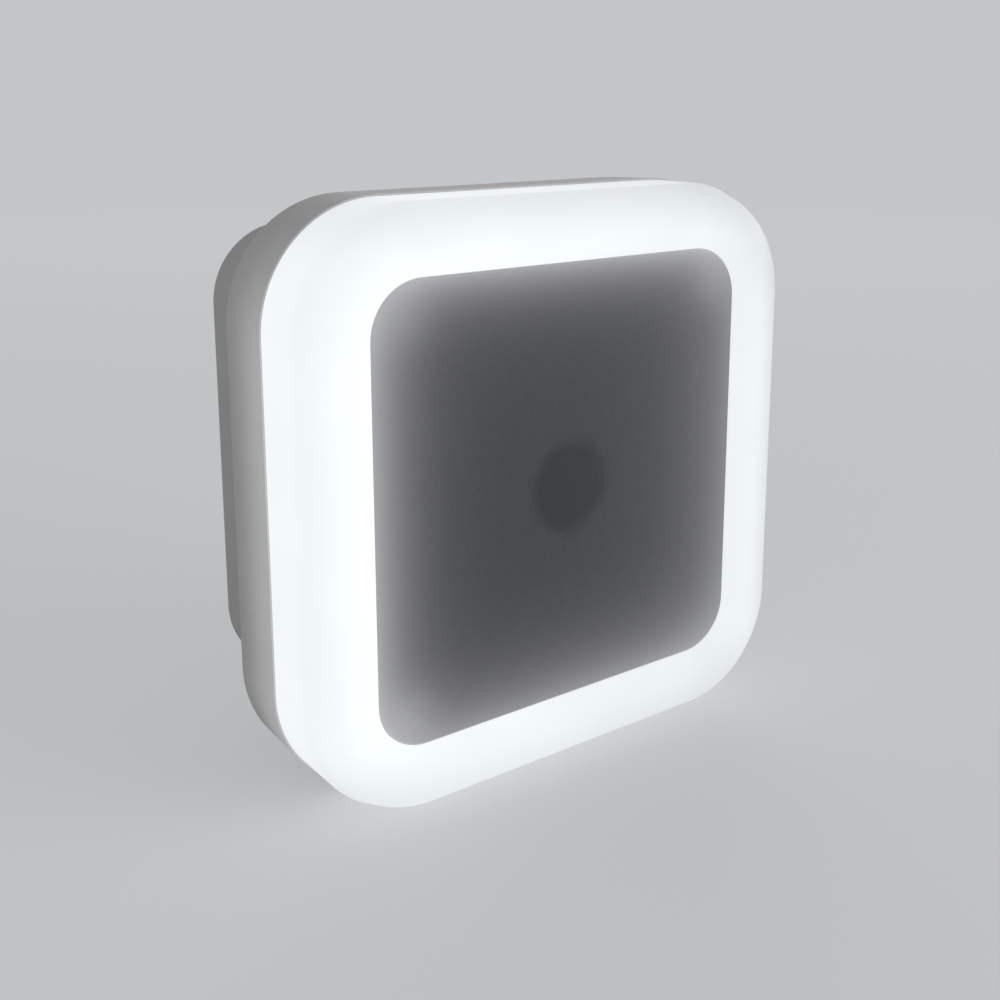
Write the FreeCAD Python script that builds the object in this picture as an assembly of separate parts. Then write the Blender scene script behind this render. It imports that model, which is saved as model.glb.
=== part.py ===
import FreeCAD, Part
import math
import os

# Plug-in night light, in millimetres.
# +Z is up, the lit face looks along -Y and the outlet's face is the plane Y = 0.
# The origin lies on that plane, midway between the two plug blades.
# Whatever lies nearer the lit face has the lower Y.

Vector = FreeCAD.Vector
REARWARD = Vector(0, 1, 0)

# Plug base: the raised box on the rear that meets the outlet.
base_inset_side = 2.95
base_inset_end = 5.55
base_depth = 9.0
base_corner_radius = 8.4
base_draft = 0.2
base_edge_radius = 1.2
base_wall = 2.0
base_rise = 1.8

# Back housing: the tray between the plug base and the lit ring.
housing_overhang = 0.2
housing_depth = 9.0
housing_draft = 0.35
housing_edge_radius = 1.6
housing_wall = 2.0
housing_floor = 2.0
floor_opening_radius = 5.0
locating_rim_height = 1.5
locating_rim_thickness = 1.2
lip_height = 2.0
lip_root = 1.5
lip_thickness = 1.0

# Diffuser ring: two tiers of opal plastic round the panel.
# An inset is measured inwards from the ring's side, a setback rearwards from its crest.
ring_side = 61.0
ring_corner_radius = 12.6
ring_depth = 9.9
ring_face_width = 6.9
ring_wall = 1.5
crest_inset = 3.3
valley_inset = 0.5
valley_radius = 0.4
shoulder_radius = 1.2
wall_step = 0.5
ledge_width = 1.5
ledge_thickness = 1.2
bead_radius = 0.45
bead_length = 16.0
bead_from_rim = 1.0

# Front panel.
panel_setback = 1.8
panel_thickness = 1.6
panel_rib_depth = 2.0
panel_rib_thickness = 1.2
panel_edge_bevel = 0.25

# Circuit board, on posts that stand on the housing's floor.
board_thickness = 1.6
board_post_height = 4.2
board_post_radius = 2.4

# Reflector frame, between the board and the ring's ledge.
reflector_base_thickness = 1.0
reflector_wall = 1.2

# Light-emitting diodes, two to a side.
led_length = 3.5
led_width = 2.8
led_height = 0.8
led_window_margin = 0.4
led_window_height = 0.1
led_offset = 12.0

# Light sensor and the dark tube that shades it.
tube_radius = 5.0
tube_bore_radius = 3.7
tube_flange_radius = 6.2
tube_flange_thickness = 1.0
photocell_radius = 2.5
photocell_thickness = 2.1
photocell_setback = 1.0
photocell_pitch = 3.4
cell_ridge_width = 0.3
cell_ridge_height = 0.12
cell_ridge_count = 4

# Plug blades: flat, parallel and upright.
blade_pitch = 12.7
blade_width = 6.35
blade_thickness = 1.5
blade_length = 17.5
blade_tip_bevel = 1.2
blade_tip_thinning = 0.4
blade_hole_radius = 1.6
blade_hole_from_face = 12.0
shoulder_width = 9.4
shoulder_depth = 2.0
tail_width = 4.6
tail_length = 3.0

# Block moulded in the plug base that the blades stand in, and the plate that clamps them.
block_width = 20.0
block_height = 15.0
block_depth = 5.0
retainer_thickness = 2.5
retainer_screw_z = 5.2
retainer_margin = 0.3

# Screws, named after what they hold.
base_post_radius = 2.75
base_screw_radius = 1.25
base_screw_length = 8.0
base_head_radius = 2.3
base_head_height = 1.7
small_screw_radius = 1.0
small_screw_length = 5.0
small_head_radius = 1.9
small_head_height = 1.4

# Parts on the board. Places are from the origin, on the board's plane.
lead_width = 0.5
lead_end = 0.7
film_capacitor_x = -4.0
film_capacitor_width = 13.0
film_capacitor_height = 9.5
film_capacitor_thickness = 6.0
film_capacitor_edge = 0.8
film_capacitor_pitch = 10.0
can_x = -10.0
can_radius = 3.15
can_height = 9.0
can_edge = 0.5
can_groove_from_board = 1.6
can_groove_depth = 0.4
can_pitch = 2.5
fusible_place = (10.5, 4.6)
fusible_radius = 1.25
fusible_length = 6.8
fusible_pitch = 10.0
bleed_z = -6.0
bleed_radius = 1.1
bleed_length = 6.0
bleed_pitch = 8.6
resistor_waist = 0.25
resistor_cap_length = 1.4
transistor_place = (4.0, -11.5)
transistor_radius = 2.3
transistor_flat = 1.3
transistor_height = 4.6
transistor_stand = 1.8
transistor_pitch = 1.6
rectifier_place = (11.2, 10.6)
rectifier_length = 4.7
rectifier_width = 3.9
rectifier_height = 2.4
rectifier_foot_width = 0.6
rectifier_foot_length = 1.2
rectifier_foot_thickness = 0.2
rectifier_pitch = 2.5
chip_first_z = 7.4
chip_spacing = 3.2
chip_count = 4
chip_length = 2.0
chip_width = 1.25
chip_height = 0.5
wire_radius = 0.75
wire_bend = 2.2
wire_from_blade = 4.0
wire_above_retainer = 1.6

# Clearances.
ring_fit = 0.1
panel_fit = 0.1
rim_fit = 0.15
board_fit = 0.4
window_fit = 0.2
blade_fit = 0.1
screw_fit = 0.05
through_hole_fit = 0.2
lead_fit = 0.1
pilot_spare = 0.5
reflector_fit = 0.2
board_screw_gap = 0.9
base_post_gap = 0.8
block_gap = 0.45
opening_gap = 1.05
bleed_gap = 1.3
chip_gap = 0.5

# Levels along Y.
base_front = -base_depth
housing_front = base_front - housing_depth
ring_crest = housing_front - ring_depth
panel_front = ring_crest + panel_setback
panel_rear = panel_front + panel_thickness
ledge_rear = panel_rear + ledge_thickness
floor_front = base_front - housing_floor
board_rear = floor_front - board_post_height
board_front = board_rear - board_thickness
base_inside = -base_wall
block_front = base_inside - block_depth
retainer_front = block_front - retainer_thickness

# Sizes across, worked out from the ones above.
ring_z = -base_rise
housing_side = ring_side + 2 * housing_overhang
housing_corner_radius = ring_corner_radius + housing_overhang
base_width = housing_side - 2 * base_inset_side
base_height = housing_side - 2 * base_inset_end
base_screw_x = base_width / 2 - base_wall - base_post_radius - base_post_gap
base_screw_z = base_height / 2 - base_wall - base_post_radius - base_post_gap
lip_side = ring_side - 2 * (ring_wall + ring_fit)
lip_corner_radius = ring_corner_radius - ring_wall - ring_fit
lip_inner_side = lip_side - 2 * lip_thickness
lip_inner_radius = lip_corner_radius - lip_thickness
board_side = lip_inner_side - 2 * board_fit
board_corner_radius = lip_inner_radius - board_fit
rebate_side = ring_side - 2 * ring_face_width
rebate_corner_radius = ring_corner_radius - ring_face_width
ledge_side = rebate_side - 2 * ledge_width
ledge_corner_radius = rebate_corner_radius - ledge_width
rib_side = ledge_side - 2 * panel_fit
rib_corner_radius = ledge_corner_radius - panel_fit
well_side = rib_side + 2 * reflector_fit
well_corner_radius = rib_corner_radius + reflector_fit
reflector_side = well_side + 2 * reflector_wall
led_centre = (reflector_side + board_side) / 4
board_screw_x = well_side / 2 - small_head_radius - board_screw_gap
blade_xs = (-blade_pitch / 2, blade_pitch / 2)
film_capacitor_place = (film_capacitor_x, block_height / 2 + block_gap + film_capacitor_thickness / 2)
can_place = (can_x, -(block_height / 2 + block_gap + can_radius))
bleed_place = (board_screw_x - board_post_radius - bleed_gap - bleed_radius, bleed_z)
chip_x = -(board_screw_x - small_head_radius - chip_gap - chip_length / 2)
floor_opening_width = 2 * (board_screw_x - board_post_radius)
floor_opening_height = 2 * (film_capacitor_place[1] + film_capacitor_thickness / 2 + opening_gap)


def rounded_outline(width, height, radius, y, centre_z):
    """Closed wire in the plane Y = y: an upright rectangle with round corners."""
    corner_x = width / 2 - radius
    corner_z = height / 2 - radius
    slant = radius * math.sqrt(0.5)
    arcs = []
    for turn, (sign_x, sign_z) in enumerate(((1, 1), (-1, 1), (-1, -1), (1, -1))):
        on_side = Vector(sign_x * width / 2, y, centre_z + sign_z * corner_z)
        middle = Vector(sign_x * (corner_x + slant), y, centre_z + sign_z * (corner_z + slant))
        on_end = Vector(sign_x * corner_x, y, centre_z + sign_z * height / 2)
        arcs.append((on_side, middle, on_end) if turn % 2 == 0 else (on_end, middle, on_side))
    edges = []
    for turn, (start, middle, end) in enumerate(arcs):
        next_start = arcs[(turn + 1) % 4][0]
        edges.append(Part.Arc(start, middle, end).toShape())
        edges.append(Part.LineSegment(end, next_start).toShape())
    return Part.Wire(edges)


def slab(width, height, radius, y_front, y_rear, centre_z=0.0):
    """Upright plate with round corners, between two depths."""
    outline = rounded_outline(width, height, radius, y_front, centre_z)
    return Part.Face(outline).extrude(REARWARD * (y_rear - y_front))


def side_section(reach, draft, edge_radius, y_front, y_rear):
    """Section from the plane X = 0 to a side that leans in by draft, with a rounded rear edge."""
    depth = y_rear - y_front
    slope = math.hypot(draft, depth)
    centre_y = y_rear - edge_radius
    centre_x = edge_radius * slope / depth + draft * (centre_y - y_front) / depth - reach
    lean = math.atan2(draft, depth)

    def on_edge(angle):
        """Point of the rounded edge. Angle 0 points out to the side and 90 degrees rearwards."""
        out = edge_radius * math.cos(angle)
        rearwards = edge_radius * math.sin(angle)
        return Vector(centre_x - out, centre_y + rearwards, 0)

    quarter_turn = math.pi / 2
    on_side = on_edge(-lean)
    on_rear = on_edge(quarter_turn)
    rounding = Part.Arc(on_side, on_edge((quarter_turn - lean) / 2), on_rear).toShape()
    straight = Part.makePolygon([
        on_rear, Vector(0, y_rear, 0), Vector(0, y_front, 0), Vector(-reach, y_front, 0), on_side,
    ])
    return Part.Face(Part.Wire(straight.Edges + [rounding]))


def drafted_body(width, height, radius, draft, edge_radius, y_front, y_rear, centre_z=0.0):
    """Box with round corners, sides that lean in to the rear and a rounded rear edge."""
    half_x = width / 2 - radius
    half_z = height / 2 - radius
    post = side_section(radius, draft, edge_radius, y_front, y_rear).revolve(Vector(), REARWARD, 360)
    pieces = []
    for x, z in four_corners(half_x, half_z, 0):
        corner = post.copy()
        corner.translate(Vector(x, 0, z))
        pieces.append(corner)
    for turn in range(4):
        reach, half_run = (width / 2, half_z) if turn % 2 == 0 else (height / 2, half_x)
        side = side_section(reach, draft, edge_radius, y_front, y_rear)
        side.translate(Vector(0, 0, -half_run))
        side = side.extrude(Vector(0, 0, 2 * half_run))
        side.rotate(Vector(), REARWARD, 90 * turn)
        pieces.append(side)
    body = fused(pieces)
    body.translate(Vector(0, 0, centre_z))
    return body


def block(x_size, z_size, y_front, y_rear, x=0.0, z=0.0):
    """Square-edged box centred on (x, z), between two depths."""
    corner = Vector(x - x_size / 2, y_front, z - z_size / 2)
    return Part.makeBox(x_size, y_rear - y_front, z_size, corner)


def rod(radius, x, z, y_front, y_rear):
    """Cylinder along Y."""
    return Part.makeCylinder(radius, y_rear - y_front, Vector(x, y_front, z), REARWARD)


def edges_in_plane(shape, y):
    """Edges that lie wholly at one depth."""
    near = 1e-4
    return [edge for edge in shape.Edges
            if abs(edge.BoundBox.YMin - y) < near and abs(edge.BoundBox.YMax - y) < near]


def fused(shapes):
    """One solid from solids that touch or overlap."""
    return shapes[0].multiFuse(shapes[1:]).removeSplitter()


def four_corners(x, z, centre_z):
    """The four places at plus and minus x and z about a centre."""
    return [(sign_x * x, centre_z + sign_z * z) for sign_x in (-1, 1) for sign_z in (-1, 1)]


def board_screw_places():
    """The screws that hold the board, one on each side at mid height."""
    return [(side * board_screw_x, ring_z) for side in (-1, 1)]


def quarter_turns(shape):
    """The shape and its copies turned by 90, 180 and 270 degrees about the ring's axis."""
    copies = []
    for turn in range(4):
        copy = shape.copy()
        copy.rotate(Vector(0, 0, ring_z), REARWARD, 90 * turn)
        copies.append(copy)
    return copies


def ring_section():
    """Section of the ring's left side: dome, valley, shoulder, side wall, light chamber and ledge."""
    side_x = -ring_side / 2

    def at(inset, setback):
        return Vector(side_x + inset, ring_crest + setback, ring_z)

    def arc(centre, radius, start, end):
        """Arc about an (inset, setback) centre. Angle 0 points inwards and 90 degrees rearwards."""
        stops = (start, (start + end) / 2, end)
        points = [at(centre[0] + radius * math.cos(a), centre[1] + radius * math.sin(a)) for a in stops]
        return Part.Arc(*points).toShape()

    outer_dome = crest_inset - valley_inset
    inner_run = ring_face_width - crest_inset
    inner_dome = (inner_run ** 2 + panel_setback ** 2) / (2 * panel_setback)
    across = shoulder_radius + valley_radius - valley_inset
    valley_drop = math.sqrt((shoulder_radius + valley_radius) ** 2 - across ** 2)
    shoulder_setback = outer_dome + valley_drop
    valley_turn = math.atan2(valley_drop, across)
    dome_end = -math.acos(inner_run / inner_dome)
    half_turn = math.pi

    chamber_inset = ring_face_width - ring_wall
    chamber_dome = inner_dome - ring_wall
    chamber_setback = inner_dome - math.sqrt(chamber_dome ** 2 - (chamber_inset - crest_inset) ** 2)
    roof_slant = (outer_dome - ring_wall) * math.sqrt(0.5)
    step_setback = shoulder_setback + wall_step
    ledge_inset = ring_face_width + ledge_width
    ledge_top = panel_setback + panel_thickness
    ledge_bottom = ledge_top + ledge_thickness

    outside = [
        Part.LineSegment(at(0, ring_depth), at(0, shoulder_setback)).toShape(),
        arc((shoulder_radius, shoulder_setback), shoulder_radius, half_turn, half_turn + valley_turn),
        arc((valley_inset - valley_radius, outer_dome), valley_radius, valley_turn, 0),
        arc((crest_inset, outer_dome), outer_dome, -half_turn, -half_turn / 2),
        arc((crest_inset, inner_dome), inner_dome, -half_turn / 2, dome_end),
    ]
    inside = [
        at(ring_face_width, panel_setback),
        at(ring_face_width, ledge_top),
        at(ledge_inset, ledge_top),
        at(ledge_inset, ledge_bottom),
        at(chamber_inset, ledge_bottom),
        at(chamber_inset, chamber_setback),
        at(crest_inset, ring_wall),
        at(crest_inset - roof_slant, outer_dome - roof_slant),
        at(valley_inset + ring_wall, outer_dome),
        at(valley_inset + ring_wall, shoulder_setback),
        at(ring_wall, step_setback),
        at(ring_wall, ring_depth),
        at(0, ring_depth),
    ]
    return Part.Face(Part.Wire(outside + Part.makePolygon(inside).Edges))


def snap_bead(radius):
    """Rounded bar on the inside of the ring's left wall, which clicks into the housing's lip."""
    x = -ring_side / 2 + ring_wall
    start = Vector(x, housing_front - bead_from_rim, ring_z - bead_length / 2)
    return Part.makeCylinder(radius, bead_length, start, Vector(0, 0, 1))


def make_diffuser_ring():
    section = ring_section()
    half_straight = ring_side / 2 - ring_corner_radius
    side = section.copy()
    side.translate(Vector(0, 0, -half_straight))
    side = side.extrude(Vector(0, 0, 2 * half_straight))
    corner = section.copy()
    corner.translate(Vector(0, 0, half_straight))
    corner_axis = Vector(-half_straight, 0, ring_z + half_straight)
    corner = corner.revolve(corner_axis, REARWARD, 90)
    bead = snap_bead(bead_radius)
    return fused(quarter_turns(side) + quarter_turns(corner) + quarter_turns(bead))


def make_front_panel():
    side = rebate_side - 2 * panel_fit
    plate = slab(side, side, rebate_corner_radius - panel_fit, panel_front, panel_rear, ring_z)
    plate = plate.makeChamfer(panel_edge_bevel, edges_in_plane(plate, panel_front))
    rib_end = panel_rear + panel_rib_depth
    rib = slab(rib_side, rib_side, rib_corner_radius, panel_rear, rib_end, ring_z)
    hollow_side = rib_side - 2 * panel_rib_thickness
    hollow_radius = rib_corner_radius - panel_rib_thickness
    hollow = slab(hollow_side, hollow_side, hollow_radius, panel_rear, rib_end, ring_z)
    return fused([plate, rib.cut(hollow)])


def make_back_housing():
    body = drafted_body(housing_side, housing_side, housing_corner_radius, housing_draft,
                        housing_edge_radius, housing_front, base_front, ring_z)
    lip = slab(lip_side, lip_side, lip_corner_radius, housing_front - lip_height,
               housing_front + lip_root, ring_z)
    rim_width = base_width - 2 * (base_wall + rim_fit)
    rim_height = base_height - 2 * (base_wall + rim_fit)
    rim_radius = base_corner_radius - base_wall - rim_fit
    rim_end = base_front + locating_rim_height
    rim = slab(rim_width, rim_height, rim_radius, base_front, rim_end)
    rim = rim.cut(slab(rim_width - 2 * locating_rim_thickness, rim_height - 2 * locating_rim_thickness,
                       rim_radius - locating_rim_thickness, base_front, rim_end))
    for x, z in four_corners(base_screw_x, base_screw_z, 0):
        rim = rim.cut(rod(base_post_radius + rim_fit, x, z, base_front, rim_end))
    body = fused([body, lip, rim])

    cavity_side = housing_side - 2 * (housing_wall + housing_draft)
    cavity_radius = housing_corner_radius - housing_wall - housing_draft
    cavity = slab(cavity_side, cavity_side, cavity_radius, housing_front + lip_root, floor_front, ring_z)
    mouth = slab(lip_inner_side, lip_inner_side, lip_inner_radius, housing_front - lip_height,
                 housing_front + lip_root, ring_z)
    opening = slab(floor_opening_width, floor_opening_height, floor_opening_radius,
                   floor_front, base_front)
    body = body.cut(fused([cavity, mouth, opening]))
    posts = [rod(board_post_radius, x, z, board_rear, floor_front)
             for x, z in board_screw_places()]
    body = fused([body] + posts)
    for x, z in board_screw_places():
        end = board_front + small_screw_length + pilot_spare
        body = body.cut(rod(small_screw_radius + screw_fit, x, z, board_rear, end))
    for x, z in four_corners(base_screw_x, base_screw_z, 0):
        body = body.cut(rod(base_screw_radius + through_hole_fit, x, z, floor_front, base_front))
    for groove in quarter_turns(snap_bead(bead_radius + ring_fit)):
        body = body.cut(groove)
    return body


def make_plug_base():
    body = drafted_body(base_width, base_height, base_corner_radius, base_draft,
                        base_edge_radius, base_front, 0)
    inner_width = base_width - 2 * base_wall
    inner_height = base_height - 2 * base_wall
    inner_radius = base_corner_radius - base_wall
    body = body.cut(slab(inner_width, inner_height, inner_radius, base_front, base_inside))
    posts = [rod(base_post_radius, x, z, base_front, base_inside)
             for x, z in four_corners(base_screw_x, base_screw_z, 0)]
    blade_block = block(block_width, block_height, block_front, base_inside)
    body = fused([body, blade_block] + posts)
    for x, z in four_corners(base_screw_x, base_screw_z, 0):
        end = floor_front + base_screw_length + pilot_spare
        body = body.cut(rod(base_screw_radius + screw_fit, x, z, base_front, end))
    for x in blade_xs:
        slot = block(blade_thickness + 2 * blade_fit, blade_width + 2 * blade_fit, block_front, 0, x)
        pocket = block(blade_thickness + 2 * blade_fit, shoulder_width + 2 * blade_fit,
                       block_front, block_front + shoulder_depth, x)
        body = body.cut(fused([slot, pocket]))
    for z in (-retainer_screw_z, retainer_screw_z):
        end = retainer_front + small_screw_length + pilot_spare
        body = body.cut(rod(small_screw_radius + screw_fit, 0, z, block_front, end))
    return body


def make_blade(x):
    """One plug blade: a bevelled tongue with its hole, a shoulder and a narrow tail for the wire."""
    half = blade_width / 2
    tip_start = blade_length - blade_tip_bevel
    tip_half = half - blade_tip_bevel
    tail_end = retainer_front - tail_length
    shoulder_end = block_front + shoulder_depth
    outline = [
        (tail_end, -tail_width / 2), (block_front, -tail_width / 2),
        (block_front, -shoulder_width / 2), (shoulder_end, -shoulder_width / 2),
        (shoulder_end, -half), (tip_start, -half), (blade_length, -tip_half),
    ]
    outline += [(y, -z) for y, z in reversed(outline)]
    outline.append(outline[0])
    left_face = x - blade_thickness / 2
    wire = Part.makePolygon([Vector(left_face, y, z) for y, z in outline])
    blade = Part.Face(wire).extrude(Vector(blade_thickness, 0, 0))
    hole_start = Vector(left_face, blade_hole_from_face, 0)
    blade = blade.cut(Part.makeCylinder(blade_hole_radius, blade_thickness, hole_start, Vector(1, 0, 0)))
    for side in (-1, 1):
        edge_x = x + side * blade_thickness / 2
        wedge = Part.makePolygon([
            Vector(edge_x, tip_start, -half),
            Vector(edge_x, blade_length, -half),
            Vector(edge_x - side * blade_tip_thinning, blade_length, -half),
            Vector(edge_x, tip_start, -half),
        ])
        blade = blade.cut(Part.Face(wedge).extrude(Vector(0, 0, blade_width)))
    return blade


def make_blade_retainer():
    width = block_width - 2 * retainer_margin
    height = block_height - 2 * retainer_margin
    plate = block(width, height, retainer_front, block_front)
    for x in blade_xs:
        plate = plate.cut(block(blade_thickness + 2 * blade_fit, tail_width + 2 * blade_fit,
                                retainer_front, block_front, x))
    for z in (-retainer_screw_z, retainer_screw_z):
        plate = plate.cut(rod(small_screw_radius + through_hole_fit, 0, z, retainer_front, block_front))
    return plate


def screw(x, z, seat, radius, length, head_radius, head_height):
    """Plain screw: a flat head in front of the seat and a shank behind it."""
    head = rod(head_radius, x, z, seat - head_height, seat)
    return fused([head, rod(radius, x, z, seat, seat + length)])


def make_base_screws():
    return [screw(x, z, floor_front, base_screw_radius, base_screw_length,
                  base_head_radius, base_head_height)
            for x, z in four_corners(base_screw_x, base_screw_z, 0)]


def make_board_screws():
    return [screw(x, z, board_front, small_screw_radius, small_screw_length,
                  small_head_radius, small_head_height)
            for x, z in board_screw_places()]


def make_retainer_screws():
    return [screw(0, z, retainer_front, small_screw_radius, small_screw_length,
                  small_head_radius, small_head_height)
            for z in (-retainer_screw_z, retainer_screw_z)]


def led_places():
    """Centre of each diode on the left side, before the quarter turns."""
    return [(-led_centre, ring_z + offset) for offset in (-led_offset, led_offset)]


def make_leds():
    diodes = []
    for x, z in led_places():
        top = board_front - led_height
        package = block(led_width, led_length, top, board_front, x, z)
        window = block(led_width - 2 * led_window_margin, led_length - 2 * led_window_margin,
                       top - led_window_height, top, x, z)
        diodes += quarter_turns(fused([package, window]))
    return diodes


def make_reflector_frame():
    plate_front = board_front - reflector_base_thickness
    outer = slab(board_side, board_side, board_corner_radius, plate_front, board_front, ring_z)
    wall = slab(reflector_side, reflector_side, well_corner_radius + reflector_wall,
                ledge_rear, board_front, ring_z)
    well = slab(well_side, well_side, well_corner_radius, ledge_rear, board_front, ring_z)
    frame = fused([outer, wall]).cut(well)
    window_width = led_width + 2 * window_fit
    window_length = led_length + 2 * window_fit
    for x, z in led_places():
        window = block(window_width, window_length, plate_front, board_front, x, z)
        for turned in quarter_turns(window):
            frame = frame.cut(turned)
    return frame


def make_sensor_tube():
    tube = rod(tube_radius, 0, ring_z, panel_rear, board_front)
    flange = rod(tube_flange_radius, 0, ring_z, board_front - tube_flange_thickness, board_front)
    return fused([tube, flange]).cut(rod(tube_bore_radius, 0, ring_z, panel_rear, board_front))


def lead(x, z, y_rear):
    """Square pin from a part on the board's rear, through the board and a little way out in front."""
    return block(lead_width, lead_width, board_front - lead_end, y_rear, x, z)


def lead_places():
    """Every place where a lead or a wire goes through the board."""
    places = [(side * photocell_pitch / 2, ring_z) for side in (-1, 1)]
    for place, pitch in ((film_capacitor_place, film_capacitor_pitch), (can_place, can_pitch),
                         (fusible_place, fusible_pitch), (transistor_place, 2 * transistor_pitch)):
        places += [(place[0] + side * pitch / 2, place[1]) for side in (-1, 1)]
    places += [(bleed_place[0], bleed_place[1] + side * bleed_pitch / 2) for side in (-1, 1)]
    places.append(transistor_place)
    places += [(wire_board_x(side), 0) for side in (-1, 1)]
    return places


def make_circuit_board():
    board = slab(board_side, board_side, board_corner_radius, board_front, board_rear, ring_z)
    hole_width = lead_width + 2 * lead_fit
    holes = [block(hole_width, hole_width, board_front, board_rear, x, z) for x, z in lead_places()]
    holes += [rod(small_screw_radius + through_hole_fit, x, z, board_front, board_rear)
              for x, z in board_screw_places()]
    return board.cut(holes)


def make_photocell():
    """Round light sensor with its raised meander, on two leads that go back through the board."""
    front = panel_rear + photocell_setback
    rear = front + photocell_thickness
    pieces = [rod(photocell_radius, 0, ring_z, front, rear)]
    spacing = 2 * photocell_radius / (cell_ridge_count + 1)
    for index in range(cell_ridge_count):
        across = (index - (cell_ridge_count - 1) / 2) * spacing
        reach = math.sqrt(photocell_radius ** 2 - across ** 2) - cell_ridge_width
        pieces.append(block(2 * reach, cell_ridge_width, front - cell_ridge_height, front,
                            0, ring_z + across))
    for side in (-1, 1):
        pieces.append(block(lead_width, lead_width, rear, board_rear + lead_end,
                            side * photocell_pitch / 2, ring_z))
    return fused(pieces)


def make_film_capacitor():
    x, z = film_capacitor_place
    body = block(film_capacitor_width, film_capacitor_thickness, board_rear,
                 board_rear + film_capacitor_height, x, z)
    corners = [edge for edge in body.Edges if edge.BoundBox.YLength > film_capacitor_height / 2]
    body = body.makeFillet(film_capacitor_edge, corners)
    leads = [lead(x + side * film_capacitor_pitch / 2, z, board_rear) for side in (-1, 1)]
    return fused([body] + leads)


def make_electrolytic_capacitor():
    """Round can with a bevelled end and the rolled groove near the board."""
    x, z = can_place
    rear = board_rear + can_height
    groove = board_rear + can_groove_from_board
    outline = [
        (0, board_rear),
        (can_radius, board_rear),
        (can_radius, groove - can_groove_depth),
        (can_radius - can_groove_depth, groove),
        (can_radius, groove + can_groove_depth),
        (can_radius, rear - can_edge),
        (can_radius - can_edge, rear),
        (0, rear),
        (0, board_rear),
    ]
    section = Part.makePolygon([Vector(x + across, y, z) for across, y in outline])
    can = Part.Face(section).revolve(Vector(x, 0, z), REARWARD, 360)
    leads = [lead(x + side * can_pitch / 2, z, board_rear) for side in (-1, 1)]
    return fused([can] + leads)


def make_resistor(place, radius, length, pitch, upright):
    """Axial resistor with a waisted body on the board's rear, and leads bent through the board."""
    x, z = place
    axis_y = board_rear + radius
    end = length / 2
    cap = end - resistor_cap_length
    outline = [
        (end, 0),
        (end, radius),
        (cap, radius),
        (cap - resistor_waist, radius - resistor_waist),
    ]
    outline += [(-along, out) for along, out in reversed(outline)]
    outline.append(outline[0])
    section = Part.makePolygon([Vector(x + along, axis_y, z + out) for along, out in outline])
    body = Part.Face(section).revolve(Vector(x, axis_y, z), Vector(1, 0, 0), 360)
    bar = block(pitch + lead_width, lead_width, axis_y - lead_width / 2, axis_y + lead_width / 2, x, z)
    leads = [lead(x + side * pitch / 2, z, axis_y) for side in (-1, 1)]
    resistor = fused([body, bar] + leads)
    if upright:
        resistor.rotate(Vector(x, 0, z), REARWARD, 90)
    return resistor


def make_switching_transistor():
    """Half-round transistor that stands off the board on three leads."""
    x, z = transistor_place
    front = board_rear + transistor_stand
    rear = front + transistor_height
    body = rod(transistor_radius, x, z, front, rear)
    body = body.cut(block(2 * transistor_radius, transistor_radius, front, rear,
                          x, z - transistor_flat - transistor_radius / 2))
    leads = [lead(x + step * transistor_pitch, z, front) for step in (-1, 0, 1)]
    return fused([body] + leads)


def make_bridge_rectifier():
    """Small rectangular package with two bent feet on each side."""
    x, z = rectifier_place
    lift = rectifier_foot_thickness
    pieces = [block(rectifier_length, rectifier_width, board_rear + lift,
                    board_rear + rectifier_height, x, z)]
    knee = board_rear + rectifier_height / 2
    for side in (-1, 1):
        edge = z + side * rectifier_width / 2
        foot_z = edge + side * rectifier_foot_length / 2
        drop_z = edge + side * rectifier_foot_thickness / 2
        for step in (-1, 1):
            foot_x = x + step * rectifier_pitch / 2
            pieces.append(block(rectifier_foot_width, rectifier_foot_length, board_rear,
                                board_rear + lift, foot_x, foot_z))
            pieces.append(block(rectifier_foot_width, rectifier_foot_thickness, board_rear,
                                knee, foot_x, drop_z))
    return fused(pieces)


def make_chip_resistors():
    return [block(chip_length, chip_width, board_front - chip_height, board_front,
                  chip_x, chip_first_z - index * chip_spacing)
            for index in range(chip_count)]


def wire_board_x(side):
    """Where a wire goes through the board, beside its blade."""
    return side * (blade_pitch / 2 + blade_thickness / 2 + wire_from_blade)


def make_lead_wire(side):
    """Insulated wire from a blade's tail, round one bend, to its hole in the board."""
    board_x = wire_board_x(side)
    blade_x = board_x - side * wire_from_blade
    run_y = retainer_front - wire_above_retainer
    outward = Vector(side, 0, 0)
    bend_x = board_x - side * wire_bend
    bend_y = run_y - wire_bend
    start = Vector(blade_x, run_y, 0)
    along = Part.makeCylinder(wire_radius, wire_from_blade - wire_bend, start, outward)
    section = Part.Face(Part.Wire(Part.makeCircle(wire_radius, Vector(bend_x, run_y, 0), outward)))
    bend = section.revolve(Vector(bend_x, bend_y, 0), Vector(0, 0, -side), 90)
    down = rod(wire_radius, board_x, 0, board_rear, bend_y)
    return fused([along, bend, down, lead(board_x, 0, board_rear)])


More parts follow.
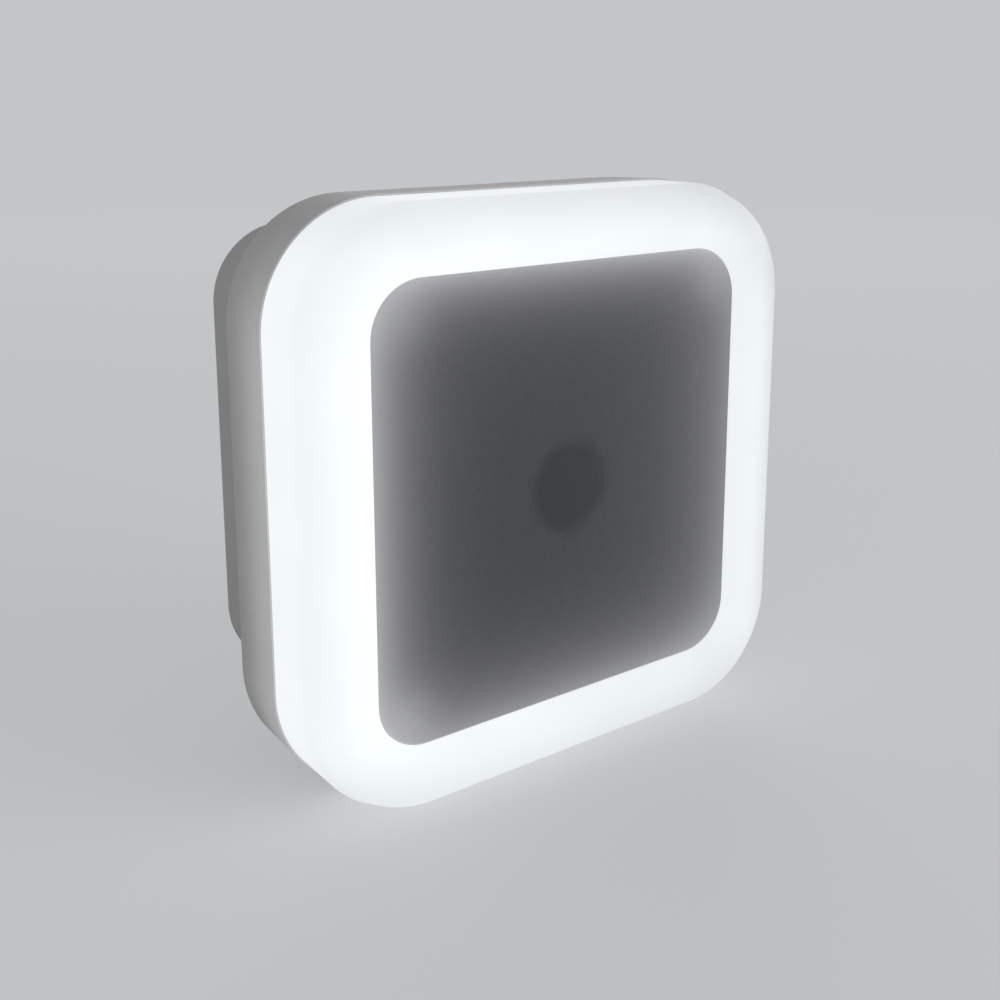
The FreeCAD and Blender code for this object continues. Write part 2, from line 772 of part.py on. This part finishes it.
sub_parts = {
    "diffuser_ring": make_diffuser_ring(),
    "front_panel": make_front_panel(),
    "back_housing": make_back_housing(),
    "plug_base": make_plug_base(),
    "left_blade": make_blade(blade_xs[0]),
    "right_blade": make_blade(blade_xs[1]),
    "blade_retainer": make_blade_retainer(),
    "retainer_screws": make_retainer_screws(),
    "base_screws": make_base_screws(),
    "board_screws": make_board_screws(),
    "circuit_board": make_circuit_board(),
    "reflector_frame": make_reflector_frame(),
    "leds": make_leds(),
    "sensor_tube": make_sensor_tube(),
    "photocell": make_photocell(),
    "film_capacitor": make_film_capacitor(),
    "electrolytic_capacitor": make_electrolytic_capacitor(),
    "fusible_resistor": make_resistor(fusible_place, fusible_radius, fusible_length,
                                      fusible_pitch, upright=False),
    "bleed_resistor": make_resistor(bleed_place, bleed_radius, bleed_length,
                                    bleed_pitch, upright=True),
    "switching_transistor": make_switching_transistor(),
    "bridge_rectifier": make_bridge_rectifier(),
    "chip_resistors": make_chip_resistors(),
    "left_lead_wire": make_lead_wire(-1),
    "right_lead_wire": make_lead_wire(1),
}

os.makedirs("parts", exist_ok=True)
for node, made in sub_parts.items():
    shape = Part.makeCompound(made) if isinstance(made, list) else made
    shape.exportStep("parts/" + node + ".step")
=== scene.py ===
import bpy
import math
from mathutils import Matrix, Vector


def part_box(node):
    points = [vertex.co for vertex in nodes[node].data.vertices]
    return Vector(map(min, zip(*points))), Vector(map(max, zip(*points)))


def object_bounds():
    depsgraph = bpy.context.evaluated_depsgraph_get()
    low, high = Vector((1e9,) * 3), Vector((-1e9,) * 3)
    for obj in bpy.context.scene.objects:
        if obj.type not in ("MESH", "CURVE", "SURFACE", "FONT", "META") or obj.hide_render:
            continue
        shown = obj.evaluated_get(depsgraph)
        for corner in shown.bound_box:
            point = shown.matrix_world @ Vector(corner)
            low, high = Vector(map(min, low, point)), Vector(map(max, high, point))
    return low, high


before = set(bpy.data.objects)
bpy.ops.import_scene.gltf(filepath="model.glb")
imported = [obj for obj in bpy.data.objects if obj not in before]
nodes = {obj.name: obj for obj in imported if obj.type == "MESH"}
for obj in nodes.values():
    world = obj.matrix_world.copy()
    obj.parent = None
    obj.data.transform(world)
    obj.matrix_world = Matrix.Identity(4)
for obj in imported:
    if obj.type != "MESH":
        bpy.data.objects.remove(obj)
cad_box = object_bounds()

# Sizes on the object are in millimetres, in the row frame. These follow the solids.
MM = 0.001
VALLEY_SETBACK = 2.95
PANEL_GAP = 0.1
ring_low, ring_high = (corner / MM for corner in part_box("diffuser_ring"))
ring_half = (ring_high.x - ring_low.x) / 2
ring_z = (ring_low.z + ring_high.z) / 2
ring_rear_y = ring_high.y
valley_y = ring_low.y + VALLEY_SETBACK
opening_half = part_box("front_panel")[1].x / MM + PANEL_GAP
housing_rear_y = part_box("plug_base")[0].y / MM


# Shader helpers. A value given to one of these is a number or the output of another node.

# Sockets of the mix node when it mixes colours.
MIX_SHARE = 0
MIX_FIRST = 6
MIX_SECOND = 7
MIX_RESULT = 2

# A ramp over noise runs this far on either side of the noise's middle value.
NOISE_MIDDLE = 0.5
WIDE_REACH = 0.2
NARROW_REACH = 0.15

# Levels of ever finer noise in soft patches, and in the rest.
CLOUD_DETAIL = 2.0
NOISE_DETAIL = 3.0


def rgb(red, green, blue):
    return (red, green, blue, 1.0)


WHITE = rgb(1.0, 1.0, 1.0)


def new_material(name):
    made = bpy.data.materials.new(name)
    made.use_nodes = True
    made.node_tree.nodes.clear()
    return made, made.node_tree


def add(tree, kind, **settings):
    node = tree.nodes.new(kind)
    for key, value in settings.items():
        setattr(node, key, value)
    return node


def plug(tree, value, socket):
    """Links an output to a socket, or sets a number on it."""
    if isinstance(value, bpy.types.NodeSocket):
        tree.links.new(value, socket)
    else:
        socket.default_value = value


def calc(tree, operation, *values):
    node = add(tree, "ShaderNodeMath", operation=operation)
    for value, socket in zip(values, node.inputs):
        plug(tree, value, socket)
    return node.outputs[0]


def chained(tree, operation, values):
    """One value from many, taken in one after another."""
    result = values[0]
    for value in values[1:]:
        result = calc(tree, operation, result, value)
    return result


def sum_of_squares(tree, across, up):
    squares = [calc(tree, "MULTIPLY", value, value) for value in (across, up)]
    return calc(tree, "ADD", *squares)


def distance(tree, across, up):
    return calc(tree, "SQRT", sum_of_squares(tree, across, up))


def square_distance(tree, across, up):
    """How far out a point lies on a rounded square: the fourth root of the sum of fourth powers."""
    powers = [calc(tree, "POWER", calc(tree, "ABSOLUTE", value), 4.0) for value in (across, up)]
    return calc(tree, "POWER", calc(tree, "ADD", *powers), 0.25)


def ramp(tree, value, low, high, at_low, at_high):
    """at_low where value is under low, at_high where it is over high, and a smooth slope between."""
    node = add(tree, "ShaderNodeMapRange", interpolation_type="SMOOTHSTEP")
    for socket, given in zip(node.inputs, (value, low, high, at_low, at_high)):
        plug(tree, given, socket)
    return node.outputs[0]


def ramp_mm(tree, value, low, high, at_low, at_high):
    """Ramp whose low and high are places in millimetres."""
    return ramp(tree, value, low * MM, high * MM, at_low, at_high)


def noise_ramp(tree, texture, at_low, at_high, reach=WIDE_REACH):
    """Ramp over the values of a noise texture."""
    return ramp(tree, texture, NOISE_MIDDLE - reach, NOISE_MIDDLE + reach, at_low, at_high)


def mix_colours(tree, share, first, second, blend="MIX"):
    node = add(tree, "ShaderNodeMix", data_type="RGBA", blend_type=blend)
    plug(tree, share, node.inputs[MIX_SHARE])
    plug(tree, first, node.inputs[MIX_FIRST])
    plug(tree, second, node.inputs[MIX_SECOND])
    return node.outputs[MIX_RESULT]


def shaded(tree, colour, share):
    """A colour with only this share of its brightness."""
    return mix_colours(tree, 1.0, colour, share, "MULTIPLY")


def object_place(tree):
    return add(tree, "ShaderNodeTexCoord").outputs["Object"]


def axes(tree):
    node = add(tree, "ShaderNodeSeparateXYZ")
    tree.links.new(object_place(tree), node.inputs[0])
    return node.outputs[0], node.outputs[1], node.outputs[2]


def noise(tree, size_mm, detail=NOISE_DETAIL, stretch=(1, 1, 1)):
    """Noise whose features are about this size. Stretch makes them longer along an axis."""
    mapping = add(tree, "ShaderNodeMapping")
    mapping.inputs["Scale"].default_value = tuple(1 / times for times in stretch)
    tree.links.new(object_place(tree), mapping.inputs["Vector"])
    node = add(tree, "ShaderNodeTexNoise")
    node.inputs["Scale"].default_value = 1 / (size_mm * MM)
    node.inputs["Detail"].default_value = detail
    tree.links.new(mapping.outputs[0], node.inputs["Vector"])
    return node.outputs["Fac"]


def cloud(tree, size_mm, darkest, brightest=1.0, reach=WIDE_REACH):
    """Share of light in soft uneven patches."""
    return noise_ramp(tree, noise(tree, size_mm, CLOUD_DETAIL), darkest, brightest, reach)


def bump(tree, height, depth_mm, strength):
    node = add(tree, "ShaderNodeBump")
    node.inputs["Strength"].default_value = strength
    node.inputs["Distance"].default_value = depth_mm * MM
    tree.links.new(height, node.inputs["Height"])
    return node.outputs[0]


def grain(tree, size_mm, depth_mm, strength, detail=NOISE_DETAIL):
    """Fine uneven relief."""
    return bump(tree, noise(tree, size_mm, detail), depth_mm, strength)


def output(tree, shader, kind="ShaderNodeOutputMaterial"):
    tree.links.new(shader, add(tree, kind).inputs["Surface"])


def surface(tree, colour, roughness, normal, metallic=0.0, specular=0.5, glow=0.0, glow_colour=WHITE):
    shader = add(tree, "ShaderNodeBsdfPrincipled")
    plug(tree, colour, shader.inputs["Base Color"])
    plug(tree, roughness, shader.inputs["Roughness"])
    plug(tree, normal, shader.inputs["Normal"])
    plug(tree, metallic, shader.inputs["Metallic"])
    plug(tree, specular, shader.inputs["Specular IOR Level"])
    plug(tree, glow, shader.inputs["Emission Strength"])
    plug(tree, glow_colour, shader.inputs["Emission Color"])
    output(tree, shader.outputs[0])


# Opal ring. Each fall of its glow says from where to where, and the share of light at both ends. The falls
# in the valley, towards the top, the bottom and the right, at the right edge and towards the upper right are
# painted shade.
OPAL_COLOUR = rgb(0.13, 0.135, 0.14)
OPAL_GLOW_COLOUR = rgb(0.937, 0.976, 1.0)
OPAL_GLOW = 0.958
OUTWARD_FALL = (25.5, 31.5, 1.0, 0.93)
VALLEY_FALL = (0.1, 2.2, 0.98, 1.0)
TOP_FALL = (24.3, ring_half, 1.0, 0.88)
BOTTOM_FALL = (-ring_half, -19.0, 0.85, 1.0)
RIGHT_FALL = (-20.0, ring_half, 1.0, 0.89)
RIGHT_EDGE_FALL = (25.6, 29.4, 1.0, 0.82)
UPPER_RIGHT_FALL = (42.0, 51.0, 1.0, 0.91)


def opal():
    """Glowing opal plastic: brightest near the panel and dimmer outwards, with painted shade in the valley,
    towards the top, the bottom and the right.
    """
    made, tree = new_material("opal_plastic")
    x, y, z = axes(tree)
    up = calc(tree, "SUBTRACT", z, ring_z * MM)
    from_valley = calc(tree, "ABSOLUTE", calc(tree, "SUBTRACT", y, valley_y * MM))
    glow = chained(tree, "MULTIPLY", [
        OPAL_GLOW,
        ramp_mm(tree, square_distance(tree, x, up), *OUTWARD_FALL),
        # Painted shade: dimmer in the valley, towards the top, the bottom, the right and the upper right.
        ramp_mm(tree, from_valley, *VALLEY_FALL),
        ramp_mm(tree, up, *TOP_FALL),
        ramp_mm(tree, up, *BOTTOM_FALL),
        ramp_mm(tree, x, *RIGHT_FALL),
        ramp_mm(tree, x, *RIGHT_EDGE_FALL),
        ramp_mm(tree, calc(tree, "ADD", x, up), *UPPER_RIGHT_FALL),
        cloud(tree, size_mm=9.0, darkest=0.99, brightest=1.01, reach=NARROW_REACH),
    ])
    relief = grain(tree, size_mm=0.35, depth_mm=0.01, strength=0.3)
    surface(tree, OPAL_COLOUR, 0.72, relief, specular=0.1, glow=glow, glow_colour=OPAL_GLOW_COLOUR)
    return made


# Front panel, dark grey: painted shade of the panel as it lies unlit.
PANEL_DARKER = rgb(0.060, 0.062, 0.071)
PANEL_LIGHTER = rgb(0.068, 0.070, 0.079)
PANEL_GLOW_COLOUR = rgb(0.99, 0.99, 1.0)
# Light that bleeds in from its edges: axis, side, strength at the edge and reach.
ACROSS = 0
UP = 1
EDGE_GLOWS = (
    (ACROSS, -1, 0.33, 3.3),
    (ACROSS, 1, 0.19, 5.4),
    (UP, 1, 0.32, 2.4),
    (UP, -1, 0.25, 3.9),
)
# Extra light in three of its corners: side, height, strength.
CORNER_GLOWS = ((-1, 1, 0.05), (1, 1, 0.06), (-1, -1, 0.075))
CORNER_GLOW_AT = 20.2
CORNER_GLOW_SPREAD = 2.4
# The dark tube behind its centre, which shows with a soft and uneven edge.
TUBE_COLOUR = rgb(0.034, 0.039, 0.047)
TUBE_EDGE_START = 3.7
TUBE_EDGE_END = 5.9
TUBE_BLOTCH_SIZE = 2.2
TUBE_BLOTCH = 1.6


def edge_glow(tree, along, side, peak, reach):
    """Light that falls off evenly from one edge of the panel."""
    depth = calc(tree, "ADD", calc(tree, "MULTIPLY", along, float(-side)), opening_half * MM)
    decay = calc(tree, "EXPONENT", calc(tree, "MULTIPLY", depth, -1 / (reach * MM)))
    return calc(tree, "MULTIPLY", decay, peak)


def corner_glow(tree, place, signs, peak):
    """Round soft patch of light in one corner of the panel."""
    middle = [sign * CORNER_GLOW_AT * MM for sign in signs]
    offsets = [calc(tree, "SUBTRACT", along, centre) for along, centre in zip(place, middle)]
    spread = CORNER_GLOW_SPREAD * MM
    fall = calc(tree, "DIVIDE", sum_of_squares(tree, *offsets), -2 * spread ** 2)
    return calc(tree, "MULTIPLY", calc(tree, "EXPONENT", fall), peak)


def tube_share(tree, place):
    """1 where the dark tube shows, 0 further out."""
    stray = calc(tree, "SUBTRACT", noise(tree, TUBE_BLOTCH_SIZE, CLOUD_DETAIL), NOISE_MIDDLE)
    blotch = calc(tree, "MULTIPLY", stray, TUBE_BLOTCH * MM)
    from_centre = calc(tree, "ADD", distance(tree, *place), blotch)
    return ramp_mm(tree, from_centre, TUBE_EDGE_START, TUBE_EDGE_END, 1.0, 0.0)


def panel_in_painted_shade():
    """Front panel in painted shade, dark grey as it lies unlit: the ring's light bleeds in from its edges as
    painted light, and a dark tube shows behind its centre.
    """
    made, tree = new_material("panel_in_painted_shade")
    x, _, z = axes(tree)
    place = (x, calc(tree, "SUBTRACT", z, ring_z * MM))
    glows = [edge_glow(tree, place[axis], side, peak, reach) for axis, side, peak, reach in EDGE_GLOWS]
    glows += [corner_glow(tree, place, signs, peak) for *signs, peak in CORNER_GLOWS]
    glow = chained(tree, "ADD", glows)
    mottle = noise_ramp(tree, noise(tree, size_mm=0.5, detail=4.0), 0.0, 1.0)
    # Dark grey painted shade, with a fine random mottle.
    plain = mix_colours(tree, mottle, PANEL_DARKER, PANEL_LIGHTER)
    colour = mix_colours(tree, tube_share(tree, place), plain, TUBE_COLOUR)
    relief = grain(tree, size_mm=0.25, depth_mm=0.006, strength=0.4)
    surface(tree, colour, 0.42, relief, specular=0.35, glow=glow, glow_colour=PANEL_GLOW_COLOUR)
    return made


# White outer plastics. Light from the ring shows on the housing: it ends before the housing's rear, and
# fades towards the top.
LEAK_END_Y = housing_rear_y - 1.0
LEAK_TOP_FALL = (12.0, 28.5, 1.0, 0.1)


def leaked_light(tree, strength):
    _, y, z = axes(tree)
    rearwards = ramp_mm(tree, y, ring_rear_y, LEAK_END_Y, strength, 0.0)
    return calc(tree, "MULTIPLY", rearwards, ramp_mm(tree, z, *LEAK_TOP_FALL))


def moulded_white(name, colour, leak=0.0):
    """White moulded plastic with a fine eroded texture. Leak is the ring's light at its front rim."""
    made, tree = new_material(name)
    relief = grain(tree, size_mm=0.3, depth_mm=0.02, strength=0.5, detail=5.0)
    speck = noise_ramp(tree, noise(tree, size_mm=0.3, detail=4.0), 0.965, 1.0, NARROW_REACH)
    share = calc(tree, "MULTIPLY", cloud(tree, size_mm=6.0, darkest=0.97), speck)
    roughness = noise_ramp(tree, noise(tree, size_mm=0.6), 0.72, 0.84)
    glow = leaked_light(tree, leak) if leak else 0.0
    surface(tree, shaded(tree, colour, share), roughness, relief, specular=0.2, glow=glow)
    return made


def plastic(name, colour, roughness=0.5):
    """Plain plastic, lacquer or ceramic, for the inner pieces."""
    made, tree = new_material(name)
    shade = shaded(tree, colour, cloud(tree, size_mm=2.5, darkest=0.93))
    surface(tree, shade, roughness, grain(tree, size_mm=0.3, depth_mm=0.01, strength=0.5))
    return made


# Fine lines on plated metal, which run rearwards.
LINE_SIZE = 0.12
LINE_STRETCH = (1.0, 40.0, 1.0)


def plated(name, colour, roughness):
    made, tree = new_material(name)
    shade = shaded(tree, colour, cloud(tree, size_mm=3.0, darkest=0.93))
    lines = noise(tree, LINE_SIZE, stretch=LINE_STRETCH)
    rough = noise_ramp(tree, lines, roughness - 0.06, roughness + 0.08)
    surface(tree, shade, rough, bump(tree, lines, depth_mm=0.004, strength=0.4), metallic=1.0)
    return made


# Each finish has its material's name, its colour and its roughness where that varies.
FINISHES = {
    "diffuser_ring": opal(),
    "front_panel": panel_in_painted_shade(),
    "back_housing": moulded_white("white_plastic", rgb(0.54, 0.54, 0.54), leak=0.165),
    # The plug base is the housing's white plastic, made darker as painted shade where the housing shadows
    # it.
    "plug_base": moulded_white("base_plastic_in_painted_shade", rgb(0.47, 0.47, 0.47)),
    "blades": plated("nickel_plate", rgb(0.62, 0.60, 0.56), 0.28),
    "screws": plated("screw_plate", rgb(0.60, 0.60, 0.60), 0.32),
    "blade_retainer": plastic("retainer_plastic", rgb(0.30, 0.31, 0.32)),
    "circuit_board": plastic("board_mask", rgb(0.70, 0.72, 0.70), 0.35),
    "reflector_frame": plastic("reflector_plastic", rgb(0.80, 0.80, 0.80), 0.4),
    "leds": plastic("diode_yellow", rgb(0.80, 0.66, 0.22), 0.3),
    "sensor_tube": plastic("tube_plastic", rgb(0.02, 0.02, 0.022), 0.6),
    "photocell": plastic("cell_ceramic", rgb(0.62, 0.42, 0.24), 0.35),
    "film_capacitor": plastic("film_case", rgb(0.45, 0.04, 0.03), 0.35),
    "electrolytic_capacitor": plastic("can_sleeve", rgb(0.05, 0.06, 0.09), 0.3),
    "fusible_resistor": plastic("resistor_coat", rgb(0.60, 0.50, 0.36)),
    "bleed_resistor": plastic("resistor_blue_coat", rgb(0.16, 0.35, 0.50), 0.45),
    "epoxy": plastic("epoxy_case", rgb(0.025, 0.025, 0.027)),
    "left_lead_wire": plastic("black_sleeve", rgb(0.02, 0.02, 0.02), 0.4),
    "right_lead_wire": plastic("white_sleeve", rgb(0.75, 0.75, 0.73), 0.4),
}
# Pieces that share a finish.
SHARED = {
    "left_blade": "blades",
    "right_blade": "blades",
    "retainer_screws": "screws",
    "base_screws": "screws",
    "board_screws": "screws",
    "switching_transistor": "epoxy",
    "bridge_rectifier": "epoxy",
    "chip_resistors": "epoxy",
}

SMOOTH_ANGLE = math.radians(32)
WELD_DISTANCE = 0.002
NORMAL_WEIGHT = 90


def dress(name, node):
    """Gives a CAD node its finish and smooth shading that keeps real edges sharp."""
    mesh = node.data
    mesh.materials.clear()
    mesh.materials.append(FINISHES[SHARED.get(name, name)])
    mesh.polygons.foreach_set("use_smooth", [True] * len(mesh.polygons))
    weld = node.modifiers.new("weld", "WELD")
    weld.merge_threshold = WELD_DISTANCE * MM
    split = node.modifiers.new("edges", "EDGE_SPLIT")
    split.split_angle = SMOOTH_ANGLE
    even = node.modifiers.new("even", "WEIGHTED_NORMAL")
    even.keep_sharp = True
    even.weight = NORMAL_WEIGHT


# Floor, world and lamps, in metres and watts.
PALE = rgb(0.55, 0.56, 0.57)
FLOOR_AS_LIT = rgb(0.74, 0.75, 0.76)
FLOOR_AS_SHOWN = rgb(0.38, 0.385, 0.39)
FLOOR_LIFT = 0.60
FLOOR_HALF = 3.0
FADE_START = 0.10
FADE_END = 0.70
WORLD_LIGHT = 0.38
LAMP_TARGET = Vector((0, -0.014, 0))
# Name, place, size and power.
LAMPS = (
    ("key", Vector((0.52, -0.76, 0.17)), 0.6, 3.5),
    ("fill", Vector((-0.75, -0.40, 0.06)), 0.6, 0.6),
    ("rear", Vector((0.52, 0.75, 0.05)), 0.7, 4.2),
)


def shown_share(tree):
    """1 on the rays that show the floor or the background, also by reflection, and 0 on those that light."""
    path = add(tree, "ShaderNodeLightPath")
    mirrored = calc(tree, "MAXIMUM", path.outputs["Is Glossy Ray"], path.outputs["Is Transmission Ray"])
    return calc(tree, "MAXIMUM", path.outputs["Is Camera Ray"], mirrored)


def shine(tree, kind, colour, strength):
    """Shader of this kind, which gives off light."""
    node = add(tree, kind)
    plug(tree, colour, node.inputs["Color"])
    plug(tree, strength, node.inputs["Strength"])
    return node.outputs[0]


def join_shaders(tree, kind, *given):
    """Shader of this kind, which takes these in the order of its sockets."""
    node = add(tree, kind)
    for value, socket in zip(given, node.inputs):
        plug(tree, value, socket)
    return node.outputs[0]


def floor_finish():
    """Pale floor that fades into the background further out."""
    made, tree = new_material("pale_floor")
    x, y, _ = axes(tree)
    shown = shown_share(tree)
    ground = add(tree, "ShaderNodeBsdfDiffuse")
    plug(tree, mix_colours(tree, shown, FLOOR_AS_LIT, FLOOR_AS_SHOWN), ground.inputs["Color"])
    lift = shine(tree, "ShaderNodeEmission", PALE, calc(tree, "MULTIPLY", shown, FLOOR_LIFT))
    near = join_shaders(tree, "ShaderNodeAddShader", ground.outputs[0], lift)
    far = shine(tree, "ShaderNodeEmission", PALE, 1.0)
    fade = ramp(tree, distance(tree, x, y), FADE_START, FADE_END, 0.0, 1.0)
    output(tree, join_shaders(tree, "ShaderNodeMixShader", fade, near, far))
    return made


def add_floor():
    made = bpy.data.meshes.new("floor")
    sides = ((-1, -1), (1, -1), (1, 1), (-1, 1))
    corners = [(x * FLOOR_HALF, y * FLOOR_HALF, cad_box[0].z) for x, y in sides]
    made.from_pydata(corners, [], [(0, 1, 2, 3)])
    made.materials.append(floor_finish())
    floor = bpy.data.objects.new("floor", made)
    bpy.context.scene.collection.objects.link(floor)


def light_world():
    """Plain white light all round, with a pale background where it is shown."""
    world = bpy.data.worlds.new("studio")
    bpy.context.scene.world = world
    world.use_nodes = True
    tree = world.node_tree
    tree.nodes.clear()
    light = shine(tree, "ShaderNodeBackground", WHITE, WORLD_LIGHT)
    background = shine(tree, "ShaderNodeBackground", PALE, 1.0)
    seen = join_shaders(tree, "ShaderNodeMixShader", shown_share(tree), light, background)
    output(tree, seen, "ShaderNodeOutputWorld")


def add_lamp(name, place, size, power):
    """Soft square lamp that faces the object."""
    data = bpy.data.lights.new(name, "AREA")
    data.shape = "SQUARE"
    data.size = size
    data.energy = power
    lamp = bpy.data.objects.new(name, data)
    bpy.context.scene.collection.objects.link(lamp)
    lamp.location = place
    lamp.rotation_mode = "QUATERNION"
    lamp.rotation_quaternion = (LAMP_TARGET - place).to_track_quat("-Z", "Y")


# Camera, at the photograph's viewing angle. Lengths are in millimetres and turns in degrees.
CAMERA_PLACE = Vector((-81.7, -125.1, 39.1))
CAMERA_YAW = 36.30
CAMERA_PITCH = 12.08
CAMERA_ROLL = -0.12
CLIP_START = 5.0
CLIP_END = 20000.0
SENSOR_WIDTH = 36.0
IMAGE_PIXELS = 1000.0
FOCAL_PIXELS = 1283.0
SHIFT_PIXELS = 140.0


def camera_turn():
    """Rotation of the camera, from its yaw, pitch and roll."""
    yaw, pitch, roll = (math.radians(turn) for turn in (CAMERA_YAW, CAMERA_PITCH, CAMERA_ROLL))
    flat = math.cos(pitch)
    forward = Vector((math.sin(yaw) * flat, math.cos(yaw) * flat, -math.sin(pitch)))
    level = forward.cross(Vector((0, 0, 1))).normalized()
    upright = level.cross(forward)
    right = level * math.cos(roll) + upright * math.sin(roll)
    upward = upright * math.cos(roll) - level * math.sin(roll)
    return Matrix((right, upward, -forward)).transposed()


def add_camera():
    data = bpy.data.cameras.new("camera")
    data.sensor_width = SENSOR_WIDTH
    data.sensor_fit = "HORIZONTAL"
    data.lens = FOCAL_PIXELS * SENSOR_WIDTH / IMAGE_PIXELS
    data.shift_y = -SHIFT_PIXELS / IMAGE_PIXELS
    data.clip_start = CLIP_START * MM
    data.clip_end = CLIP_END * MM
    camera = bpy.data.objects.new("camera", data)
    bpy.context.scene.collection.objects.link(camera)
    camera.matrix_world = Matrix.Translation(CAMERA_PLACE * MM) @ camera_turn().to_4x4()
    bpy.context.scene.camera = camera


for name, node in nodes.items():
    dress(name, node)
add_floor()
light_world()
for settings in LAMPS:
    add_lamp(*settings)
add_camera()
bpy.context.scene.view_settings.view_transform = "Standard"
